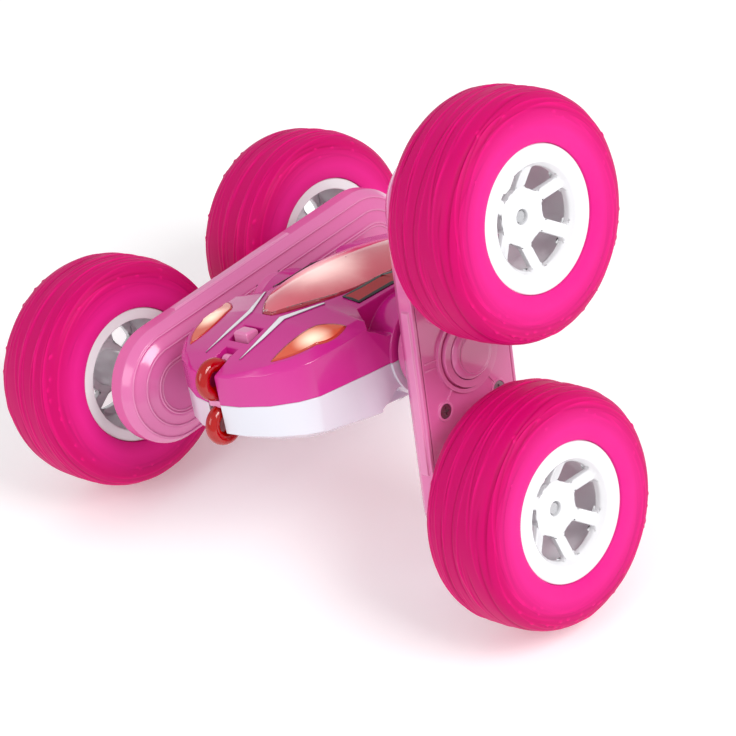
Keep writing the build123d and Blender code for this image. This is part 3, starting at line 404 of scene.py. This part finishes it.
def arm_place(side):
    """The arm's own frame: X outward along the cross pivot, Y from front axle to rear."""
    front = Vector(joints[side + "_front_wheel_spin"]["pos_m"])
    rear = Vector(joints[side + "_rear_wheel_spin"]["pos_m"])
    out = Vector(joints[side + "_front_wheel_spin"]["axis"]) * (1 if side == "near" else -1)
    along = (rear - front).normalized()
    place = Matrix((out, along, out.cross(along))).transposed().to_4x4()
    place.translation = (front + rear) / 2 - out * WHEEL_OFFSET
    return place, (rear - front).length / 2


def bead_loop(x, radius, half_length):
    """A round bead that runs along a slot-shaped line: a thin ring, drawn apart at its middle."""
    shape = bmesh.new()
    half_step = Matrix.Rotation(math.pi / BEAD_STEPS, 4, "X")
    upright = Matrix.Translation((x, 0, radius)) @ Matrix.Rotation(math.pi / 2, 4, "X")
    bmesh.ops.create_circle(shape, cap_ends=False, radius=BEAD_RADIUS, segments=8, matrix=half_step @ upright)
    bmesh.ops.spin(shape, geom=shape.verts[:] + shape.edges[:], cent=(0, 0, 0), axis=(1, 0, 0),
                   dvec=(0, 0, 0), angle=2 * math.pi, steps=BEAD_STEPS, use_merge=True, use_duplicate=False)
    for vert in shape.verts:
        vert.co.y += math.copysign(half_length, vert.co.y)
    bmesh.ops.recalc_face_normals(shape, faces=shape.faces)
    for face in shape.faces:
        face.smooth = True
    return shape


for side in ("near", "far"):
    for part, width in (("arm_shell", 0.0003), ("arm_cover", 0.00012), ("hub_cap", 0.0003)):
        piece = eased(side + "_" + part, side + "_" + part + "_moulding", width)
        dress(piece, arm_pink_abs)
    place, half_length = arm_place(side)
    for number, (x, radius) in enumerate(TRAY_BEADS):
        loop = bead_loop(x, radius, half_length)
        loop.transform(place)
        bead = from_bmesh(f"{side}_tray_bead_{number}", loop)
        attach(bead, frame["nodes"][side + "_arm_shell"]["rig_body"])
        dress(bead, arm_pink_abs)

# ---- Rims ---------------------------------------------------------------------------
# Each rim is one moulding in gloss white ABS, with a dished six-spoke face.  Its
# hub is pushed on to the end of its axle.
rim_white = plastic("rim_white_abs", (0.84, 0.84, 0.86), (0.9, 0.9, 0.9), roughness=0.2, coat=0.4,
                    mottle=0.02)
wheels = [(side, end) for side in ("near", "far") for end in ("front", "rear")]
for side, end in wheels:
    rim = eased(side + "_rim_" + end, side + "_rim_moulding_" + end, 0.0004, segments=3)
    dress(rim, rim_white)

# ---- Tyres --------------------------------------------------------------------------
# Blown balloon tyres in soft hot-pink rubber.  Fine irregular streaks run round
# the tread, with moulding nibs on the shoulders, and the side walls are smooth.
TYRE_HALF_WIDTH = 0.0122
TYRE_TREAD = 0.03255
TYRE_WAIST = 0.0243
TYRE_BEAD = 0.0192
TYRE_SEAT = 0.0174
TYRE_SEAT_HALF = 0.0097
TYRE_SQUARENESS = 3.6
STREAK_COUNT = 170
STREAK_REACH = 0.0178
STREAK_TURN = (0.4, 2.0)
STREAK_SLOPE = 0.0026
STREAK_WIDTH = (0.00016, 0.00036)
STREAK_HEIGHTS = (0.00020, 0.00013, -0.00017)
STREAK_WAVER = 0.00025
STREAK_ENDS = 0.2
NIB_COUNT = 70
NIB_PLACE = (0.010, 0.0165)
NIB_HEIGHT = 0.0005
NIB_ACROSS = 0.0003
NIB_ALONG = 0.0005
TREAD_FLOOR = -0.0004
TREAD_LIMIT = 0.00042
TREAD_END = 0.0200
TREAD_FADE = 0.0025
WALL_START = 0.013
WALL_FADE = 0.006
STEPS_ROUND = 300
TREAD_POINTS = 230


def tyre_outline():
    """Points (across, radius) from the outer bead over the tread to the inner bead."""
    rise = TYRE_TREAD - TYRE_WAIST
    start = -math.asin(((TYRE_WAIST - TYRE_BEAD) / rise) ** (TYRE_SQUARENESS / 2))
    points = []
    for step in range(TREAD_POINTS + 1):
        angle = start + (math.pi - 2 * start) * step / TREAD_POINTS
        c, s = math.cos(angle), math.sin(angle)
        points.append((TYRE_HALF_WIDTH * math.copysign(abs(c) ** (2 / TYRE_SQUARENESS), c),
                       TYRE_WAIST + rise * math.copysign(abs(s) ** (2 / TYRE_SQUARENESS), s)))
    return np.array(points)


def even_outline(line, count):
    """The same outline with evenly spread points: across, radius, and distance from the crown."""
    along = np.concatenate([[0], np.cumsum(np.hypot(*np.diff(line, axis=0).T))])
    wanted = np.linspace(0, along[-1], count)
    return np.stack([np.interp(wanted, along, line[:, 0]), np.interp(wanted, along, line[:, 1]),
                     wanted - along[-1] / 2], axis=1)


def tread_relief(turn, arc):
    """Height of the tread above its base: long fine streaks that start and stop, and nibs."""
    chance = np.random.RandomState(11)
    height = np.zeros(np.broadcast(turn, arc).shape)
    for streak in range(STREAK_COUNT):
        middle = chance.uniform(-STREAK_REACH, STREAK_REACH)
        begin = chance.uniform(0, 2 * math.pi)
        length = chance.uniform(*STREAK_TURN)
        slope = chance.uniform(-STREAK_SLOPE, STREAK_SLOPE)
        width = chance.uniform(*STREAK_WIDTH)
        tall = chance.choice(STREAK_HEIGHTS)
        along = (turn - begin) % (2 * math.pi)
        inside = np.clip(np.minimum(along, length - along) / STREAK_ENDS, 0, 1)
        line = middle + slope * (along - length / 2) + STREAK_WAVER * np.sin(4 * along + streak)
        height = height + tall * inside * np.exp(-((arc - line) / width) ** 2)
    for _ in range(NIB_COUNT):
        middle = chance.choice([-1, 1]) * chance.uniform(*NIB_PLACE)
        begin = chance.uniform(0, 2 * math.pi)
        apart = ((turn - begin + math.pi) % (2 * math.pi) - math.pi) * TYRE_TREAD
        nib_shape = np.exp(-(((arc - middle) / NIB_ACROSS) ** 2 + (apart / NIB_ALONG) ** 2))
        height = height + NIB_HEIGHT * nib_shape
    fade = np.clip((TREAD_END - np.abs(arc)) / TREAD_FADE, 0, 1)
    return np.clip(height, TREAD_FLOOR, TREAD_LIMIT) * fade


def tyre_shape():
    """One tyre about the X axis: the outline spun round it, then the tread raised."""
    outline = even_outline(tyre_outline(), TREAD_POINTS).tolist()
    foot = [(side * TYRE_SEAT_HALF, radius, side * TYRE_WAIST)
            for side, radius in ((-1, TYRE_BEAD), (-1, TYRE_SEAT), (1, TYRE_SEAT), (1, TYRE_BEAD))]
    shape = bmesh.new()
    for name in ("arc", "relief", "side_wall"):
        shape.verts.layers.float.new(name)
    arc_layer, relief_layer, wall_layer = (shape.verts.layers.float[name]
                                           for name in ("arc", "relief", "side_wall"))
    corners = []
    for across, radius, arc in outline + foot:
        corner = shape.verts.new((across, 0, radius))
        corner[arc_layer] = arc
        corners.append(corner)
    edges = [shape.edges.new(pair) for pair in zip(corners, corners[1:] + corners[:1])]
    bmesh.ops.spin(shape, geom=corners + edges, cent=(0, 0, 0), axis=(1, 0, 0), dvec=(0, 0, 0),
                   angle=2 * math.pi, steps=STEPS_ROUND, use_merge=True, use_duplicate=False)
    turn = np.array([math.atan2(vert.co.z, vert.co.y) for vert in shape.verts])
    arcs = np.array([vert[arc_layer] for vert in shape.verts])
    for vert, lift, arc in zip(shape.verts, tread_relief(turn, arcs), arcs):
        grow = 1 + lift / math.hypot(vert.co.y, vert.co.z)
        vert.co.y *= grow
        vert.co.z *= grow
        vert[relief_layer] = lift
        vert[wall_layer] = min(1.0, max(0.0, (abs(arc) - WALL_START) / WALL_FADE))
    bmesh.ops.recalc_face_normals(shape, faces=shape.faces)
    for face in shape.faces:
        face.smooth = True
    return shape


def tyre_rubber():
    """Soft rubber: painted shade darkens the tread's furrows, and the side walls are paler and pinker, partly
    the rubber's own tone and partly a painted sheen.
    """
    material, tree = blank_material("tyre_rubber")
    relief = add(tree, "ShaderNodeAttribute", attribute_name="relief").outputs["Fac"]
    wall = add(tree, "ShaderNodeAttribute", attribute_name="side_wall").outputs["Fac"]
    place = add(tree, "ShaderNodeTexCoord").outputs["Object"]
    # Painted shade: the lower the tread relief, the darker the tread colour.
    rise = add(tree, "ShaderNodeMapRange", {"Value": relief, "From Min": -0.0002, "From Max": 0.0003})
    tread = add(tree, "ShaderNodeMix", {0: rise.outputs[0], 6: (0.44, 0.0, 0.095, 1),
                                        7: (0.76, 0.004, 0.185, 1)}, data_type="RGBA")
    cloud = add(tree, "ShaderNodeTexNoise", {"Vector": place, "Scale": 45.0, "Detail": 4.0})
    # Side wall tone: partly the rubber's own colour, partly a painted sheen that makes it paler.
    side = add(tree, "ShaderNodeMix", {0: cloud.outputs["Fac"], 6: (0.74, 0.010, 0.235, 1),
                                       7: (0.80, 0.026, 0.28, 1)}, data_type="RGBA")
    colour = add(tree, "ShaderNodeMix", {0: wall, 6: tread.outputs[2], 7: side.outputs[2]}, data_type="RGBA")
    grain = add(tree, "ShaderNodeTexNoise", {"Vector": place, "Scale": 2200.0, "Detail": 3.0})
    haze = add(tree, "ShaderNodeMapRange", {"Value": cloud.outputs["Fac"], "To Min": 0.42, "To Max": 0.56})
    bump = add(tree, "ShaderNodeBump", {"Height": grain.outputs["Fac"], "Strength": 0.08, "Distance": 0.0002})
    shader = add(tree, "ShaderNodeBsdfPrincipled", {
        "Base Color": colour.outputs[2], "Roughness": haze.outputs[0], "Normal": bump.outputs["Normal"],
        "Specular IOR Level": 0.1, "Subsurface Weight": 0.12, "Subsurface Radius": (1.0, 0.1, 0.3),
        "Subsurface Scale": 0.002})
    add(tree, "ShaderNodeOutputMaterial", {"Surface": shader.outputs["BSDF"]})
    return material


rubber = tyre_rubber()
tyre_master = bpy.data.meshes.new("tyre_master")
tyre_turned = tyre_shape()
tyre_turned.to_mesh(tyre_master)
tyre_turned.free()
for side, end in wheels:
    place, half_length = arm_place(side)
    offset = Vector((WHEEL_OFFSET, half_length * (-1 if end == "front" else 1), 0))
    mesh = tyre_master.copy()
    mesh.transform(place @ Matrix.Translation(offset))
    tyre = bpy.data.objects.new(side + "_balloon_tyre_" + end, mesh)
    scene.collection.objects.link(tyre)
    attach(tyre, side + "_wheel_" + end)
    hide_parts(side + "_tyre_" + end)
    dress(tyre, rubber)

# ---- Metal parts --------------------------------------------------------------------
# Turned and pressed metal on the CAD nodes: plated steel screws, ground steel
# axles and pins, drawn motor cans, and brass bushes and pinions.


def metal(name, colour, roughness, scratches=0.12, streak=(900.0, 60.0, 60.0)):
    """Bright metal with drawing lines, rubbed spots and a little tarnish."""
    material, tree = blank_material(name)
    place = add(tree, "ShaderNodeTexCoord").outputs["Object"]
    long_way = add(tree, "ShaderNodeMapping", {"Vector": place, "Scale": streak})
    lines = add(tree, "ShaderNodeTexNoise", {"Vector": long_way.outputs[0], "Scale": 8.0, "Detail": 6.0})
    spots = add(tree, "ShaderNodeTexNoise", {"Vector": place, "Scale": 260.0, "Detail": 4.0})
    tarnish = tuple(0.72 * channel for channel in colour)
    tone = add(tree, "ShaderNodeMix", {0: spots.outputs["Fac"], 6: colour + (1,), 7: tarnish + (1,)},
               data_type="RGBA")
    rough = add(tree, "ShaderNodeMapRange", {
        "Value": lines.outputs["Fac"], "To Min": roughness - scratches / 2, "To Max": roughness + scratches})
    bump = add(tree, "ShaderNodeBump", {
        "Height": lines.outputs["Fac"], "Strength": 0.15, "Distance": 0.00005})
    shader = add(tree, "ShaderNodeBsdfPrincipled", {
        "Base Color": tone.outputs[2], "Metallic": 1.0, "Roughness": rough.outputs[0],
        "Normal": bump.outputs["Normal"]})
    add(tree, "ShaderNodeOutputMaterial", {"Surface": shader.outputs["BSDF"]})
    return material


def finish_nodes(material, *nodes):
    """Gives CAD nodes that stay as they are their material."""
    for node in nodes:
        for material_slot in frame["nodes"][node].material_slots:
            material_slot.material = material


screw_steel = metal("screw_steel", (0.42, 0.40, 0.42), 0.30)
ground_steel = metal("ground_steel", (0.62, 0.62, 0.64), 0.20)
motor_steel = metal("motor_steel", (0.55, 0.55, 0.56), 0.28, streak=(60.0, 60.0, 900.0))
brass = metal("turned_brass", (0.72, 0.52, 0.22), 0.25)
finish_nodes(screw_steel, "body_screws")
for side in ("near", "far"):
    finish_nodes(screw_steel, side + "_arm_screws")
    finish_nodes(ground_steel, side + "_idler_pins", side + "_axle_front", side + "_axle_rear")
    finish_nodes(motor_steel, side + "_motor")
    finish_nodes(brass, side + "_axle_bushes", side + "_motor_pinion")

# ---- Gears and inner plastic parts ----------------------------------------------------
# Natural acetal gears, slightly waxy, that turn on the arms' pins and axles, and
# the black nylon pivot clips, switch housing and charging jack.
acetal = plastic("acetal_gear", (0.80, 0.78, 0.70), (0.9, 0.88, 0.82), roughness=0.34, coat=0.05, mottle=0.10,
                 grain=1200.0, relief=0.05)
black_nylon = plastic("black_nylon", (0.022, 0.022, 0.025), (0.07, 0.07, 0.08), roughness=0.42, coat=0.0,
                      mottle=0.2, grain=900.0, relief=0.12)
for side in ("near", "far"):
    for end in ("front", "rear"):
        finish_nodes(acetal, *(f"{side}_{kind}_gear_{end}" for kind in ("idler", "carrier", "driven")))
    finish_nodes(black_nylon, side + "_pivot_clip")
finish_nodes(black_nylon, "switch_housing", "charging_socket")

# ---- Electronics ------------------------------------------------------------------------
# Green solder mask with copper tracks, a blue shrink-wrapped battery, and the
# clear epoxy lamps under the canopy and the side lenses.


def solder_mask():
    """Green lacquer over raised copper tracks and small tinned pads."""
    material, tree = blank_material("solder_mask")
    place = add(tree, "ShaderNodeTexCoord").outputs["Object"]
    tracks = add(tree, "ShaderNodeTexBrick", {
        "Vector": place, "Scale": 260.0, "Mortar Size": 0.06, "Color1": (0.010, 0.10, 0.035, 1),
        "Color2": (0.008, 0.085, 0.03, 1), "Mortar": (0.05, 0.26, 0.09, 1)})
    pads = add(tree, "ShaderNodeTexVoronoi", {"Vector": place, "Scale": 420.0})
    tinned = add(tree, "ShaderNodeMapRange", {"Value": pads.outputs["Distance"], "From Min": 0.16,
                                              "From Max": 0.20, "To Min": 1.0, "To Max": 0.0})
    tone = add(tree, "ShaderNodeMix", {0: tinned.outputs[0], 6: tracks.outputs["Color"],
                                       7: (0.62, 0.62, 0.60, 1)}, data_type="RGBA")
    bump = add(tree, "ShaderNodeBump", {"Height": tracks.outputs["Fac"], "Strength": 0.3, "Distance": 0.0001})
    shader = add(tree, "ShaderNodeBsdfPrincipled", {
        "Base Color": tone.outputs[2], "Metallic": tinned.outputs[0], "Roughness": 0.28,
        "Normal": bump.outputs["Normal"]})
    add(tree, "ShaderNodeOutputMaterial", {"Surface": shader.outputs["BSDF"]})
    return material


shrink_wrap = plastic("battery_wrap", (0.02, 0.09, 0.42), (0.1, 0.25, 0.7), roughness=0.25, coat=0.3,
                      mottle=0.15, grain=500.0, relief=0.2)
led_epoxy = painted_glow_lens("led_epoxy", (0.9, 0.75, 0.5), (1.0, 0.9, 0.7), (1.2, 0.9, 0.5),
                         [canopy_spot] + lamp_spots, 0.02)
finish_nodes(solder_mask(), "circuit_board")
finish_nodes(shrink_wrap, "battery_pack")
finish_nodes(led_epoxy, "lights")
